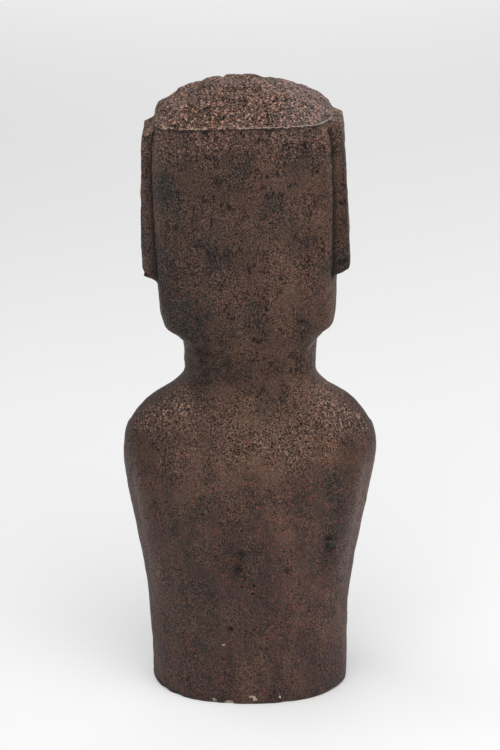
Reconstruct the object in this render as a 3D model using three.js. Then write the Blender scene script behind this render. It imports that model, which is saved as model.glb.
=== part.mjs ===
// A decorative moai, a head on a short neck and a long trunk, cast as one piece that stands on a flat underside.
// Millimetres, +Z up. The face looks along -Y, the back along +Y, and the origin is the middle of the underside.

import * as THREE from "three";

// Driving sizes.
const statueHeight = 800;
const baseWidth = 253;
const baseDepthBehind = 92;
const baseDepthBefore = 90;
const shoulderWidth = 321;
const backDepth = 94;
const bellyDepth = 106;
const neckWidth = 167;
const neckDepthBehind = 61;
const neckDepthBefore = 57;
const headWidth = 222;
const headDepthBehind = 83;
const headDepthBefore = 91;
const jawDepth = 100;
const headLean = 1.4; // degrees that the head leans toward its left

// The carving is sized on a figure 800 tall, and grows and shrinks with the height.
const unit = statueHeight / 800;

// Levels above the floor.
const bellyLevel = 200 * unit;
const shoulderLevel = 310 * unit;
const neckLevel = 435 * unit;
const jawLevel = 498 * unit;
const mouthLevel = 533 * unit;
const nostrilLevel = 584 * unit;
const browLevel = 690 * unit;
const crownRimLevel = 764 * unit;

// Crown and jaw.
const rimDip = 1.5 * unit; // how much lower the rim runs across the back of the head
const jawDrop = 26 * unit; // how much lower the jaw's edge runs under the chin
const jawDropReach = 62 * unit;
const domePower = 2.3; // 2 is a round dome, and more is fuller at its sides

// Face, each as a height off the plain front of the head.
const browRelief = 12 * unit;
const socketDepth = 17 * unit;
const noseRelief = 40 * unit;
const nostrilRelief = 9 * unit;
const lipRelief = 10 * unit;
const lipHalfWidth = 55 * unit;
const chinRelief = 13 * unit;
const chinHalfWidth = 64 * unit;

// Ears, long slabs on the sides of the head.
const earTop = 756 * unit;
const earBottom = 566 * unit;
const earFront = -6 * unit;
const earBack = 58 * unit;
const earThickness = 12 * unit;
const lobeThickness = 4.5 * unit; // what the ear gains by its lobe
const earHollow = 5.5 * unit;
const lobeHollow = 4.5 * unit;

// Arms, left standing by the ground cut back around them.
const armRelief = 8 * unit;
const armEdge = 9 * unit; // width of the slope at the edge of an arm
const upperArm = { top: 326 * unit, wide: 28 * unit, narrow: 22 * unit };
const foreArm = { elbow: 158 * unit, wrist: 112 * unit, wide: 21 * unit, narrow: 15 * unit };
const hand = { level: 99 * unit, tip: 93 * unit, wide: 18 * unit, narrow: 13 * unit };

// Mesh: columns run up the figure, rows run round it.
const columns = 64;
const crownRows = 6;
const rowBands = [
  { upTo: 58 * unit, rows: 2 }, // hem
  { upTo: 118 * unit, rows: 8 }, // hands
  { upTo: 330 * unit, rows: 12 }, // trunk
  { upTo: 455 * unit, rows: 10 }, // shoulders and neck
  { upTo: 500 * unit, rows: 6 }, // jaw
  { upTo: 545 * unit, rows: 7 }, // mouth
  { upTo: 574 * unit, rows: 4 }, // ear lobes
  { upTo: 604 * unit, rows: 5 }, // nostrils
  { upTo: 672 * unit, rows: 6 }, // eyes
  { upTo: 708 * unit, rows: 5 }, // brow
  { upTo: crownRimLevel, rows: 5 }, // forehead
];

// Small helpers.
const mix = (a, b, share) => a + (b - a) * share;
const clamp = (v) => Math.min(1, Math.max(0, v));
const degrees = (v) => (v * Math.PI) / 180;

// Rises smoothly from 0 at the first value to 1 at the second.
function ease(from, to, v) {
  const t = clamp((v - from) / (to - from));
  return t * t * (3 - 2 * t);
}

// A soft bell of height 1 around a middle.
const hump = (v, middle, spread) => Math.exp(-(((v - middle) / spread) ** 2));

// A smooth curve through points of level and value.
function curveThrough(points) {
  const slope = (k) => {
    const [a, b] = [points[Math.max(k - 1, 0)], points[Math.min(k + 1, points.length - 1)]];
    return (b[1] - a[1]) / (b[0] - a[0]);
  };
  return (level) => {
    let k = 0;
    while (k < points.length - 2 && level >= points[k + 1][0]) k += 1;
    const [z0, v0] = points[k];
    const [z1, v1] = points[k + 1];
    const h = z1 - z0;
    const u = clamp((level - z0) / h);
    return (
      (2 * u ** 3 - 3 * u ** 2 + 1) * v0 +
      (u ** 3 - 2 * u ** 2 + u) * h * slope(k) +
      (3 * u ** 2 - 2 * u ** 3) * v1 +
      (u ** 3 - u ** 2) * h * slope(k + 1)
    );
  };
}

// The same, with levels that are counted on a figure 800 tall.
const figureCurve = (points) => curveThrough(points.map(([level, v]) => [level * unit, v]));
const crownRimMark = crownRimLevel / unit;

// Outline from behind: the trunk widens to the shoulders, which fall to the neck under a square jaw.
const [baseHalf, shoulderHalf] = [baseWidth / 2, shoulderWidth / 2];
const [neckHalf, headHalf] = [neckWidth / 2, headWidth / 2];
const halfWidth = figureCurve([
  [0, baseHalf],
  [60, mix(baseHalf, shoulderHalf, 0.03)],
  [130, mix(baseHalf, shoulderHalf, 0.14)],
  [200, mix(baseHalf, shoulderHalf, 0.43)],
  [260, mix(baseHalf, shoulderHalf, 0.76)],
  [310, shoulderHalf],
  [340, mix(neckHalf, shoulderHalf, 0.98)],
  [362, mix(neckHalf, shoulderHalf, 0.86)],
  [384, mix(neckHalf, shoulderHalf, 0.59)],
  [402, mix(neckHalf, shoulderHalf, 0.23)],
  [420, mix(neckHalf, shoulderHalf, 0.02)],
  [440, neckHalf],
  [462, mix(neckHalf, headHalf, 0.02)],
  [474, mix(neckHalf, headHalf, 0.1)],
  [486, mix(neckHalf, headHalf, 0.4)],
  [498, mix(neckHalf, headHalf, 0.82)],
  [545, mix(neckHalf, headHalf, 0.97)],
  [690, headHalf],
  [740, mix(neckHalf, headHalf, 0.97)],
  [crownRimMark, mix(neckHalf, headHalf, 0.89)],
]);

// Depth behind and before the middle plane.
const depthBehind = figureCurve([
  [0, baseDepthBehind],
  [130, mix(baseDepthBehind, backDepth, 0.75)],
  [200, backDepth],
  [260, mix(neckDepthBehind, backDepth, 0.97)],
  [310, mix(neckDepthBehind, backDepth, 0.82)],
  [362, mix(neckDepthBehind, backDepth, 0.45)],
  [404, mix(neckDepthBehind, backDepth, 0.09)],
  [430, neckDepthBehind],
  [464, mix(neckDepthBehind, headDepthBehind, 0.14)],
  [500, mix(neckDepthBehind, headDepthBehind, 0.5)],
  [545, mix(neckDepthBehind, headDepthBehind, 0.73)],
  [690, headDepthBehind],
  [crownRimMark, mix(neckDepthBehind, headDepthBehind, 0.95)],
]);
const depthBefore = figureCurve([
  [0, baseDepthBefore],
  [60, mix(baseDepthBefore, bellyDepth, 0.31)],
  [130, mix(baseDepthBefore, bellyDepth, 0.81)],
  [200, bellyDepth],
  [310, mix(neckDepthBefore, bellyDepth, 0.78)],
  [362, mix(neckDepthBefore, bellyDepth, 0.45)],
  [404, mix(neckDepthBefore, bellyDepth, 0.14)],
  [435, neckDepthBefore],
  [464, mix(neckDepthBefore, jawDepth, 0.12)],
  [476, mix(neckDepthBefore, jawDepth, 0.49)],
  [488, mix(neckDepthBefore, jawDepth, 0.91)],
  [500, jawDepth],
  [545, mix(headDepthBefore, jawDepth, 0.4)],
  [600, headDepthBefore],
  [690, headDepthBefore],
  [crownRimMark, mix(neckDepthBefore, headDepthBefore, 0.88)],
]);

// Power of the rounded section: 2 is an ellipse, and more is squarer.
const squareBehind = figureCurve([
  [0, 2.2],
  [200, 2.4],
  [340, 2.6],
  [410, 2.3],
  [464, 2.6],
  [486, 3.8],
  [545, 6],
  [590, 8],
  [725, 8],
  [crownRimMark, 5.4],
]);
const squareBefore = figureCurve([
  [0, 2.3],
  [310, 2.4],
  [410, 2.2],
  [464, 2.4],
  [486, 2.8],
  [600, 3],
  [740, 2.9],
  [crownRimMark, 2.7],
]);

// The nose from the side, and its half width from the front.
const noseProfile = figureCurve([
  [561, 0],
  [567, 0.07],
  [574, 0.6],
  [580, 0.9],
  [590, 1],
  [626, 0.72],
  [650, 0.57],
  [692, 0.3],
  [722, 0],
]);
const noseHalfWidth = figureCurve([
  [561, 26 * unit],
  [586, 29 * unit],
  [612, 21 * unit],
  [668, 14 * unit],
  [690, 17 * unit],
  [722, 26 * unit],
]);

function brow(x, over) {
  const shelf = over > 0 ? hump(over, 0, 24 * unit) : ease(-8 * unit, 0, over);
  const temples = 1 - 0.9 * ease(62 * unit, 98 * unit, x);
  const middle = mix(0.72, 1, ease(6 * unit, 30 * unit, x));
  return browRelief * shelf * temples * middle;
}

// Deepest right under the brow, running out on to the cheek, with the closed lid's swelling inside.
function eyeSocket(x, under) {
  const across = ease(11 * unit, 27 * unit, x) * (1 - ease(62 * unit, 90 * unit, x));
  const down = ease(1 * unit, 11 * unit, under) * (1 - ease(18 * unit, 64 * unit, under));
  const lid = 4.5 * unit * hump(x, 48 * unit, 18 * unit) * hump(under, 31 * unit, 10 * unit);
  return lid - socketDepth * across * down;
}

function cheek(x, z) {
  const bone = 5 * unit * hump(x, 66 * unit, 22 * unit) * hump(z, 610 * unit, 26 * unit);
  const hollow = 4 * unit * hump(x, 60 * unit, 18 * unit) * hump(z, 556 * unit, 26 * unit);
  return bone - hollow;
}

function nose(x, z) {
  const inside = z > 561 * unit && z < 722 * unit;
  const ridge = inside ? noseRelief * noseProfile(z) : 0;
  const flank = 1 - ease(0.15, 1.2, x / noseHalfWidth(z));
  const wing = nostrilRelief * hump(x, 25 * unit, 8 * unit) * hump(z, nostrilLevel, 11 * unit);
  const nostril = 5 * unit * hump(x, 13 * unit, 5 * unit) * hump(z, 571 * unit, 5 * unit);
  return ridge * flank + wing - nostril;
}

// Two narrow lips that thin out toward the corners, on a low swelling.
function mouth(x, z) {
  const line = mouthLevel - (0.0014 / unit) * x ** 2 + 1.5 * unit * hump(x, 0, 12 * unit);
  const taper = Math.sqrt(clamp(1 - (x / lipHalfWidth) ** 2));
  const thick = (2.5 + 4.5 * taper) * unit;
  const offset = (1.5 + 7.2 * taper) * unit;
  const lips = lipRelief * taper ** 0.8 * (hump(z, line + offset, thick) + hump(z, line - offset, thick));
  const parting = 4 * unit * taper * hump(z, line, 2.4 * unit);
  const corner = 2.5 * unit * hump(x, lipHalfWidth, 6 * unit) * hump(z, line, 7 * unit);
  const swelling = 7 * unit * hump(z, mouthLevel + 3 * unit, 26 * unit) * (1 - ease(30 * unit, 74 * unit, x));
  return lips + swelling - parting - corner;
}

function chin(x, z) {
  const body = 1 - (x / chinHalfWidth) ** 3 - ((z - jawLevel + 13 * unit) / (27 * unit)) ** 2;
  const dip = 4 * unit * hump(z, 510 * unit, 7 * unit) * (1 - ease(26 * unit, 60 * unit, x));
  return chinRelief * ease(0, 1, body) - dip;
}

// How far the face stands before the plain front of the head.
function faceRelief(side, z) {
  const x = Math.abs(side);
  const browLine = browLevel + 4 * unit * hump(x, 44 * unit, 26 * unit) - (0.0014 / unit) * x ** 2;
  const over = z - browLine;
  return brow(x, over) + eyeSocket(x, -over) + cheek(x, z) + nose(x, z) + mouth(x, z) + chin(x, z);
}

// How far an ear stands off the side of the head: a slab with a long hollow, and a dimple in the lobe.
function earRelief(y, z) {
  const edge = 4 * unit;
  const along = ease(earFront - edge, earFront + edge, y) * (1 - ease(earBack - edge, earBack + edge, y));
  const upright = ease(earBottom - edge, earBottom + edge, z) * (1 - ease(earTop - edge, earTop + edge, z));
  const lobe = 1 - ease(earBottom, earTop, z);
  const acrossHollow = (y - mix(earFront, earBack, 0.5)) / (19 * unit);
  const hollow = ease(0, 0.55, 1 - acrossHollow ** 4 - ((z - 690 * unit) / (52 * unit)) ** 4);
  const dimple = ease(0, 0.6, 1 - (1.46 * acrossHollow) ** 2 - ((z - 598 * unit) / (16 * unit)) ** 2);
  const thickness = earThickness + lobeThickness * lobe - earHollow * hollow - lobeHollow * dimple;
  return along * upright * thickness;
}

// An arm laid flat: distance round the trunk, counted as 2 mm a degree from the middle of the back, and level.
const armRoute = [
  { x: 188 * unit, z: upperArm.top, half: upperArm.wide },
  { x: 194 * unit, z: foreArm.elbow, half: upperArm.narrow },
  { x: 194 * unit, z: foreArm.elbow, half: foreArm.wide },
  { x: 264 * unit, z: foreArm.wrist, half: foreArm.narrow },
  { x: 300 * unit, z: hand.level, half: hand.wide },
  { x: 336 * unit, z: hand.tip, half: hand.narrow },
];

// 1 on an arm and 0 away from it.
function onArm(x, z) {
  let most = 0;
  for (let k = 0; k < armRoute.length - 1; k += 1) {
    const [a, b] = [armRoute[k], armRoute[k + 1]];
    const [dx, dz] = [b.x - a.x, b.z - a.z];
    const length = dx * dx + dz * dz;
    if (length === 0) continue;
    const share = clamp(((x - a.x) * dx + (z - a.z) * dz) / length);
    const away = Math.hypot(x - a.x - share * dx, z - a.z - share * dz);
    const half = mix(a.half, b.half, share);
    most = Math.max(most, 1 - ease(half - armEdge / 2, half + armEdge / 2, away));
  }
  return most;
}

// How deep the trunk is cut back: the ground round the arms in front, and a fine line behind each upper arm.
function trunkCut(angle, z) {
  const fade = ease(20 * unit, 95 * unit, z) * (1 - ease(330 * unit, 385 * unit, z));
  const ground = armRelief * ease(88, 101, angle) * fade * (1 - onArm(2 * angle * unit, z));
  const lineFade = ease(140 * unit, 180 * unit, z) * (1 - ease(290 * unit, 335 * unit, z));
  const line = 2.2 * unit * hump(angle, 73.5, 2.6) * lineFade;
  return ground + line;
}

// Columns stand closer together on the face and at the edges of the ears.
function columnAngles() {
  const steps = 1440;
  const sums = [0];
  for (let i = 0; i < steps; i += 1) {
    const angle = ((i + 0.5) * 360) / steps;
    const fromBack = Math.min(angle, 360 - angle);
    const edges = 2.2 * ease(9, 0, Math.abs(fromBack - 61)) + 1.2 * ease(10, 0, Math.abs(fromBack - 93));
    sums.push(sums[i] + 1 + 2 * ease(118, 140, fromBack) + edges);
  }
  const angles = [];
  let i = 0;
  for (let c = 0; c < columns; c += 1) {
    const wanted = (sums[steps] * c) / columns;
    while (sums[i + 1] < wanted) i += 1;
    const share = (wanted - sums[i]) / (sums[i + 1] - sums[i]);
    angles.push(degrees(((i + share) * 360) / steps));
  }
  return angles;
}

function rowLevels() {
  const levels = [];
  let from = 0;
  for (const { upTo, rows } of rowBands) {
    for (let i = 0; i < rows; i += 1) levels.push(mix(from, upTo, i / rows));
    from = upTo;
  }
  levels.push(crownRimLevel);
  return levels;
}

// The head leans to one side about the neck.
function leanHead([x, y, z]) {
  const lean = degrees(headLean) * ease(neckLevel - 5 * unit, neckLevel + 85 * unit, z);
  const up = z - neckLevel;
  return [
    x * Math.cos(lean) + up * Math.sin(lean),
    y,
    neckLevel - x * Math.sin(lean) + up * Math.cos(lean),
  ];
}

// A point of the surface, by its column's angle from the middle of the back and its row's level.
function surfacePoint(angle, level) {
  const [s, c] = [Math.sin(angle), Math.cos(angle)];
  const behind = c >= 0;
  const depth = behind ? depthBehind(level) : depthBefore(level);
  const power = behind ? squareBehind(level) : squareBefore(level);
  const reach = (Math.abs(s / halfWidth(level)) ** power + Math.abs(c / depth) ** power) ** (-1 / power);
  const chinward = ease(0.1, 0.9, -c);
  const drop = jawDrop * ease(jawDropReach, 0, Math.abs(level - jawLevel + 14 * unit)) * chinward;
  const dip = rimDip * ease(690 * unit, crownRimLevel, level) * ease(0.3, 0.95, c);
  const z = level - drop - dip;
  const turned = (angle * 180) / Math.PI;
  const fromBack = Math.min(turned, 360 - turned);
  const radius = reach - trunkCut(fromBack, z);
  const onFace = ease(0.45, 0.75, -c) * ease(440 * unit, 470 * unit, z);
  const onSide = Math.abs(s) > 0.5 ? Math.sign(s) : 0;
  return [
    radius * s + onSide * earRelief(reach * c, z),
    radius * c - onFace * faceRelief(radius * s, z),
    z,
  ];
}

function statueGeometry() {
  const angles = columnAngles();
  const rows = rowLevels().map((level) => angles.map((angle) => surfacePoint(angle, level)));

  // The crown is a low dome that shrinks from the rim to a point.
  const rim = rows[rows.length - 1];
  const dome = statueHeight - crownRimLevel;
  for (let r = 1; r < crownRows; r += 1) {
    const k = 1 - r / crownRows;
    const share = k ** domePower;
    const up = (crownRimLevel + dome) * (1 - share);
    rows.push(rim.map(([x, y, z]) => [x * k, y * k, z * share + up]));
  }
  const apex = leanHead([0, 0, statueHeight]);
  const points = [...rows.flat().map(leanHead), [0, 0, 0], apex];

  const index = [];
  const underside = points.length - 2;
  const top = points.length - 1;
  const last = (rows.length - 1) * columns;
  for (let c = 0; c < columns; c += 1) {
    const next = (c + 1) % columns;
    for (let r = 0; r < rows.length - 1; r += 1) {
      const [a, b] = [r * columns + c, r * columns + next];
      index.push(a, a + columns, b + columns, a, b + columns, b);
    }
    index.push(c, next, underside, last + next, last + c, top);
  }
  const geometry = new THREE.BufferGeometry();
  geometry.setAttribute("position", new THREE.Float32BufferAttribute(points.flat(), 3));
  geometry.setIndex(index);
  geometry.computeVertexNormals();
  return geometry;
}

// Dark brown paint on the casting, with a dull sheen.
const paintedStone = new THREE.MeshStandardMaterial({ color: 0x54433c, roughness: 0.7, metalness: 0 });

const statue = new THREE.Mesh(statueGeometry(), paintedStone);
statue.name = "moai_statue";

const part = new THREE.Group();
part.add(statue);

export default part;
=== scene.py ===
# Moai statue, a cast copy in dark brown stone paint, seen from behind in a pale studio
import math
import bpy
import numpy as np
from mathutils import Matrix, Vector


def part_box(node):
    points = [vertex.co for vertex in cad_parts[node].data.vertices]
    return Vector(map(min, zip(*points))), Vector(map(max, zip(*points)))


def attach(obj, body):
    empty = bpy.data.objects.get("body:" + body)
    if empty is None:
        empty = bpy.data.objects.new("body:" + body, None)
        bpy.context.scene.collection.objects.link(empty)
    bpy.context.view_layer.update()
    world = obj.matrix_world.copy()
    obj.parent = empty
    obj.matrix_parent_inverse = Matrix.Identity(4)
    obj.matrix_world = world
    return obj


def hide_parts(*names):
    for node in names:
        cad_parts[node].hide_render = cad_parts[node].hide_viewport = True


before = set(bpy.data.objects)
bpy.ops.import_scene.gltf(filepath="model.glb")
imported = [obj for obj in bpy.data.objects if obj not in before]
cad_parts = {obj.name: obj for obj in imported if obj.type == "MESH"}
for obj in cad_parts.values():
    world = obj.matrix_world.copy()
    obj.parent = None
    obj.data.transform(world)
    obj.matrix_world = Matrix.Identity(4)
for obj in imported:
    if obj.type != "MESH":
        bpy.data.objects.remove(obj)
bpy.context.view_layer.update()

figureHeight = 800  # millimetres that the form below is counted on
boxLow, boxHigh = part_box("moai_statue")
mm = (boxHigh[2] - boxLow[2]) / figureHeight  # one of those millimetres, in metres


# Smooth step from 0 at the first value to 1 at the second: 3 squares less 2 cubes of the share between them
def ease(start, end, v):
    t = np.clip((v - start) / (end - start), 0, 1)
    return t * t * (3 - 2 * t)


# 1 after the first step and before the second, each step a (start, end) pair
def between(rise, fall, v):
    return ease(*rise, v) * (1 - ease(*fall, v))


# 1 from one value to another, with a soft edge of the given half width at both
def edged(start, end, edge, v):
    return between((start - edge, start + edge), (end - edge, end + edge), v)


# Soft bell of height 1: e to the power of minus the square of the distance from the middle over the spread
def hump(v, middle, spread):
    return np.exp(-((v - middle) / spread) ** 2)


# Cubic through (level, value) points, its slope at a point being that between the two points beside it
def curveThrough(points, level):
    z, v = np.array(points, float).T
    before, after = np.maximum(np.arange(len(z)) - 1, 0), np.minimum(np.arange(len(z)) + 1, len(z) - 1)
    slope = (v[after] - v[before]) / (z[after] - z[before])
    k = np.clip(np.searchsorted(z, level, side="right") - 1, 0, len(z) - 2)
    h = z[k + 1] - z[k]
    u = np.clip((level - z[k]) / h, 0, 1)
    return ((2 * u**3 - 3 * u**2 + 1) * v[k] + (u**3 - 2 * u**2 + u) * h * slope[k]
            + (3 * u**2 - 2 * u**3) * v[k + 1] + (u**3 - u**2) * h * slope[k + 1])


lattice = dict(entries=8192, shift=97.0, strides=(1619, 31337, 6971))  # shift keeps cell numbers above 0


# Value noise from -1 to 1: random numbers on a lattice of the given cell, blended between its corners
def latticeNoise(x, y, z, cell, seed):
    table = np.random.default_rng(seed).uniform(-1, 1, lattice["entries"])
    whole, part = [], []
    for v in (x, y, z):
        v = v / cell + lattice["shift"]
        low = np.floor(v)
        whole.append(low.astype(np.int64))
        part.append((v - low) ** 2 * (3 - 2 * (v - low)))
    total = 0
    for corner in np.ndindex(2, 2, 2):
        slot = sum((w + c) * stride for w, c, stride in zip(whole, corner, lattice["strides"]))
        weight = math.prod(p if c else 1 - p for p, c in zip(part, corner))
        total = total + table[slot % lattice["entries"]] * weight
    return total


# The statue's form. Sizes are millimetres on a figure 800 tall, levels are heights above the floor.
form = dict(
    halfWidth=[(0, 126.5), (60, 127.5), (130, 131.3), (200, 141.1), (260, 152.3), (310, 160.5), (340, 159),
               (362, 149.5), (384, 129), (402, 101), (420, 85), (440, 83.5), (462, 84), (474, 86.2),
               (486, 94.5), (498, 106), (545, 110.2), (690, 111), (740, 110.2), (764, 108)],
    depthBehind=[(0, 92), (130, 93.5), (200, 94), (260, 93), (310, 88), (362, 76), (404, 64), (430, 61),
                 (464, 64), (500, 72), (545, 77), (690, 83), (764, 82)],
    depthBefore=[(0, 90), (60, 95), (130, 103), (200, 106), (310, 95), (362, 79), (404, 64), (435, 57),
                 (464, 62), (476, 78), (488, 96), (500, 100), (545, 95), (600, 91), (690, 91), (764, 87)],
    squareBehind=[(0, 2.2), (200, 2.4), (340, 2.6), (410, 2.3), (464, 2.6), (486, 3.8), (545, 6),
                  (590, 8), (725, 8), (764, 5.4)],
    squareBefore=[(0, 2.3), (310, 2.4), (410, 2.2), (464, 2.4), (486, 2.8), (600, 3.0), (740, 2.9),
                  (764, 2.7)],
    rimLevel=764, domePower=2.3, rimDip=1.5, dipFrom=690, dipBehind=(0.3, 0.95),
    jawDrop=26, jawLevel=484, jawReach=62, jawBefore=(0.1, 0.9),
    headLean=1.4, neckLevel=435, leanBelow=5, leanAbove=85,  # the lean is in degrees
)


mesh = dict(
    columns=296,
    rowBands=[(0, 58, 22), (58, 118, 30), (118, 330, 60), (330, 455, 44), (455, 500, 22), (500, 545, 28),
              (545, 574, 14), (574, 604, 16), (604, 672, 26), (672, 708, 20), (708, 764, 24)],
    crownRows=26, crownReach=95,  # reach from the rim to the middle of the crown
    angleSteps=2880, faceCrowd=1.2, faceAngles=(118, 140),
    edgeCrowds=[(61, 9, 1.6), (93, 10, 1.0)],  # angle, reach and crowding of the columns at the ears' edges
)


# Column angles from the middle of the back, closer together on the face and at the edges of the ears
def columnAngles(count):
    angle = np.linspace(0, 360, mesh["angleSteps"] + 1)
    fromBack = np.minimum(angle, 360 - angle)
    crowd = 1 + mesh["faceCrowd"] * ease(*mesh["faceAngles"], fromBack)
    for edge, reach, more in mesh["edgeCrowds"]:
        crowd = crowd + more * ease(reach, 0, np.abs(fromBack - edge))
    sums = np.concatenate([[0], np.cumsum((crowd[1:] + crowd[:-1]) / 2)])
    return np.interp(np.arange(count) * sums[-1] / count, sums, angle)


def rowLevels():
    parts = [start + (end - start) * np.arange(rows) / rows for start, end, rows in mesh["rowBands"]]
    return np.concatenate(parts + [[form["rimLevel"]]])


face = dict(
    before=(0.45, 0.75), above=(440, 470),  # cosine to the front and levels over which the face sets in
    browLevel=690, browRelief=12, browArch=4, browArchAt=44, browArchSpread=26, browBend=0.0014,
    browAbove=24, browBelow=8, browEnds=(62, 98), browEndShare=0.9, browMiddle=(6, 30), browMiddleShare=0.28,
    socketDepth=17, socketInner=(11, 27), socketOuter=(62, 90), socketTop=(1, 11), socketBottom=(18, 64),
    lidRelief=4.5, lidAt=48, lidSpread=18, lidUnderBrow=31, lidThickness=10,
    noseRelief=40, noseTip=561, noseTop=722, noseFlank=(0.15, 1.2),
    noseProfile=[(561, 0), (567, 0.07), (574, 0.6), (580, 0.9), (590, 1), (626, 0.72), (650, 0.57),
                 (692, 0.3), (722, 0)],
    noseHalfWidth=[(561, 26), (586, 29), (612, 21), (668, 14), (690, 17), (722, 26)],
    mouthLevel=533, mouthBend=0.0014, mouthBow=1.5, mouthBowSpread=12,
    lipRelief=10, lipHalfWidth=55, lipPower=0.8, lipSpread=(2.5, 4.5), lipOffset=(1.5, 7.2),
    partingDepth=4, partingSpread=2.4, cornerDepth=2.5, cornerSpread=6, cornerHeight=7,
    muzzleRelief=7, muzzleRise=3, muzzleSpread=26, muzzleEnds=(30, 74),
    chinRelief=13, chinHalfWidth=64, chinLevel=485, chinHalfHeight=27,
    creaseDepth=4, creaseLevel=510, creaseSpread=7, creaseEnds=(26, 60),
    # cheek, the hollow under it, nostril wing and nostril: relief, distance across, spread, level, spread
    lumps=[(5, 66, 22, 610, 26), (-4, 60, 18, 556, 26), (9, 25, 8, 584, 11), (-5, 13, 5, 571, 5)],
)


# Brow as a shelf along a bent line, with eye sockets sunk under it and a low lid in each
def browRelief(x, z):
    f = face
    arch = f["browArch"] * hump(x, f["browArchAt"], f["browArchSpread"])
    over = z - (f["browLevel"] + arch - f["browBend"] * x**2)
    shelf = np.where(over > 0, hump(over, 0, f["browAbove"]), ease(-f["browBelow"], 0, over))
    ends = 1 - f["browEndShare"] * ease(*f["browEnds"], x)
    middle = 1 - f["browMiddleShare"] * (1 - ease(*f["browMiddle"], x))
    socket = between(f["socketInner"], f["socketOuter"], x)
    socket = socket * between(f["socketTop"], f["socketBottom"], -over)
    lid = hump(x, f["lidAt"], f["lidSpread"]) * hump(-over, f["lidUnderBrow"], f["lidThickness"])
    return f["browRelief"] * shelf * ends * middle - f["socketDepth"] * socket + f["lidRelief"] * lid


# Nose as a profile down the middle that falls off across its half width
def noseRelief(x, z):
    onNose = (z > face["noseTip"]) * (z < face["noseTop"])
    ridge = face["noseRelief"] * curveThrough(face["noseProfile"], z) * onNose
    return ridge * (1 - ease(*face["noseFlank"], x / curveThrough(face["noseHalfWidth"], z)))


# Lips as two bells beside the mouth's line, both thinning toward its ends, on a soft swelling
def mouthRelief(x, z):
    f = face
    line = f["mouthLevel"] - f["mouthBend"] * x**2 + f["mouthBow"] * hump(x, 0, f["mouthBowSpread"])
    taper = np.sqrt(np.clip(1 - (x / f["lipHalfWidth"]) ** 2, 0, 1))
    spread = f["lipSpread"][0] + f["lipSpread"][1] * taper
    offset = f["lipOffset"][0] + f["lipOffset"][1] * taper
    lips = taper ** f["lipPower"] * (hump(z, line + offset, spread) + hump(z, line - offset, spread))
    parting = taper * hump(z, line, f["partingSpread"])
    corner = hump(x, f["lipHalfWidth"], f["cornerSpread"]) * hump(z, line, f["cornerHeight"])
    muzzle = hump(z, f["mouthLevel"] + f["muzzleRise"], f["muzzleSpread"]) * (1 - ease(*f["muzzleEnds"], x))
    return (f["lipRelief"] * lips - f["partingDepth"] * parting - f["cornerDepth"] * corner
            + f["muzzleRelief"] * muzzle)


# Chin as a rounded block, with a crease between it and the lower lip
def chinRelief(x, z):
    body = 1 - (x / face["chinHalfWidth"]) ** 3 - ((z - face["chinLevel"]) / face["chinHalfHeight"]) ** 2
    crease = hump(z, face["creaseLevel"], face["creaseSpread"]) * (1 - ease(*face["creaseEnds"], x))
    return face["chinRelief"] * ease(0, 1, body) - face["creaseDepth"] * crease


# Face as heights off the plain front of the head, by distance from the middle and level
def faceRelief(side, z):
    x = np.abs(side)
    lumps = sum(height * hump(x, at, spread) * hump(z, level, tall)
                for height, at, spread, level, tall in face["lumps"])
    return browRelief(x, z) + noseRelief(x, z) + mouthRelief(x, z) + chinRelief(x, z) + lumps


ears = dict(
    top=756, bottom=566, front=-6, back=58, thickness=12, lobe=4.5, edge=4,
    fromMiddle=0.5,  # sine of the angle from the middle of the back beyond which an ear may stand
    halfDepth=19, hollow=5.5, hollowLevel=690, hollowHalf=52, hollowEdge=0.55,
    dimple=4.5, dimpleLevel=598, dimpleHalf=16, dimpleNarrow=1.46, dimpleEdge=0.6,
    topTilt=3.5, lobeTilt=1.5,  # how much higher one ear sits than the mean of the two
)


# Ear as a slab on the side of the head, by depth and level, with a long hollow and a dimple in the lobe
def earRelief(y, z, side):
    top, bottom = ears["top"] - ears["topTilt"] * side, ears["bottom"] - ears["lobeTilt"] * side
    slab = edged(ears["front"], ears["back"], ears["edge"], y) * edged(bottom, top, ears["edge"], z)
    across = (y - (ears["front"] + ears["back"]) / 2) / ears["halfDepth"]
    up = (z - ears["hollowLevel"]) / ears["hollowHalf"]
    hollow = ease(0, ears["hollowEdge"], 1 - across**4 - up**4)
    upLobe = (z - ears["dimpleLevel"]) / ears["dimpleHalf"]
    dimple = ease(0, ears["dimpleEdge"], 1 - (ears["dimpleNarrow"] * across) ** 2 - upLobe**2)
    thickness = ears["thickness"] + ears["lobe"] * (1 - ease(ears["bottom"], ears["top"], z))
    return slab * (thickness - ears["hollow"] * hollow - ears["dimple"] * dimple)


arms = dict(
    relief=8, edge=9,
    aroundPerDegree=2,  # distance round the trunk, in millimetres
    # distance round the trunk from the middle of the back, level, half width
    route=[(188, 326, 28), (194, 158, 22), (264, 112, 15), (300, 99, 18), (336, 93, 13)],
    groundAngles=(88, 101), groundBottom=(20, 95), groundTop=(330, 385),
    lineDepth=2.2, lineAngle=73.5, lineSpread=2.6, lineBottom=(140, 180), lineTop=(290, 335),
    handStart=(149, 154), handEnd=(170, 174), handMiddle=300,
    fingerSlant=0.16, fingerGap=6.4, fingerDepth=1.3,
)


# 1 on an arm and 0 away from it: the distance to the arm's route against its half width there
def onArm(around, z):
    most = np.zeros(np.broadcast(around, z).shape)
    for (ax, az, aHalf), (bx, bz, bHalf) in zip(arms["route"], arms["route"][1:]):
        dx, dz = bx - ax, bz - az
        share = np.clip(((around - ax) * dx + (z - az) * dz) / (dx * dx + dz * dz), 0, 1)
        away = np.hypot(around - ax - share * dx, z - az - share * dz)
        half = aHalf + (bHalf - aHalf) * share
        most = np.maximum(most, 1 - ease(half - arms["edge"] / 2, half + arms["edge"] / 2, away))
    return most


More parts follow.
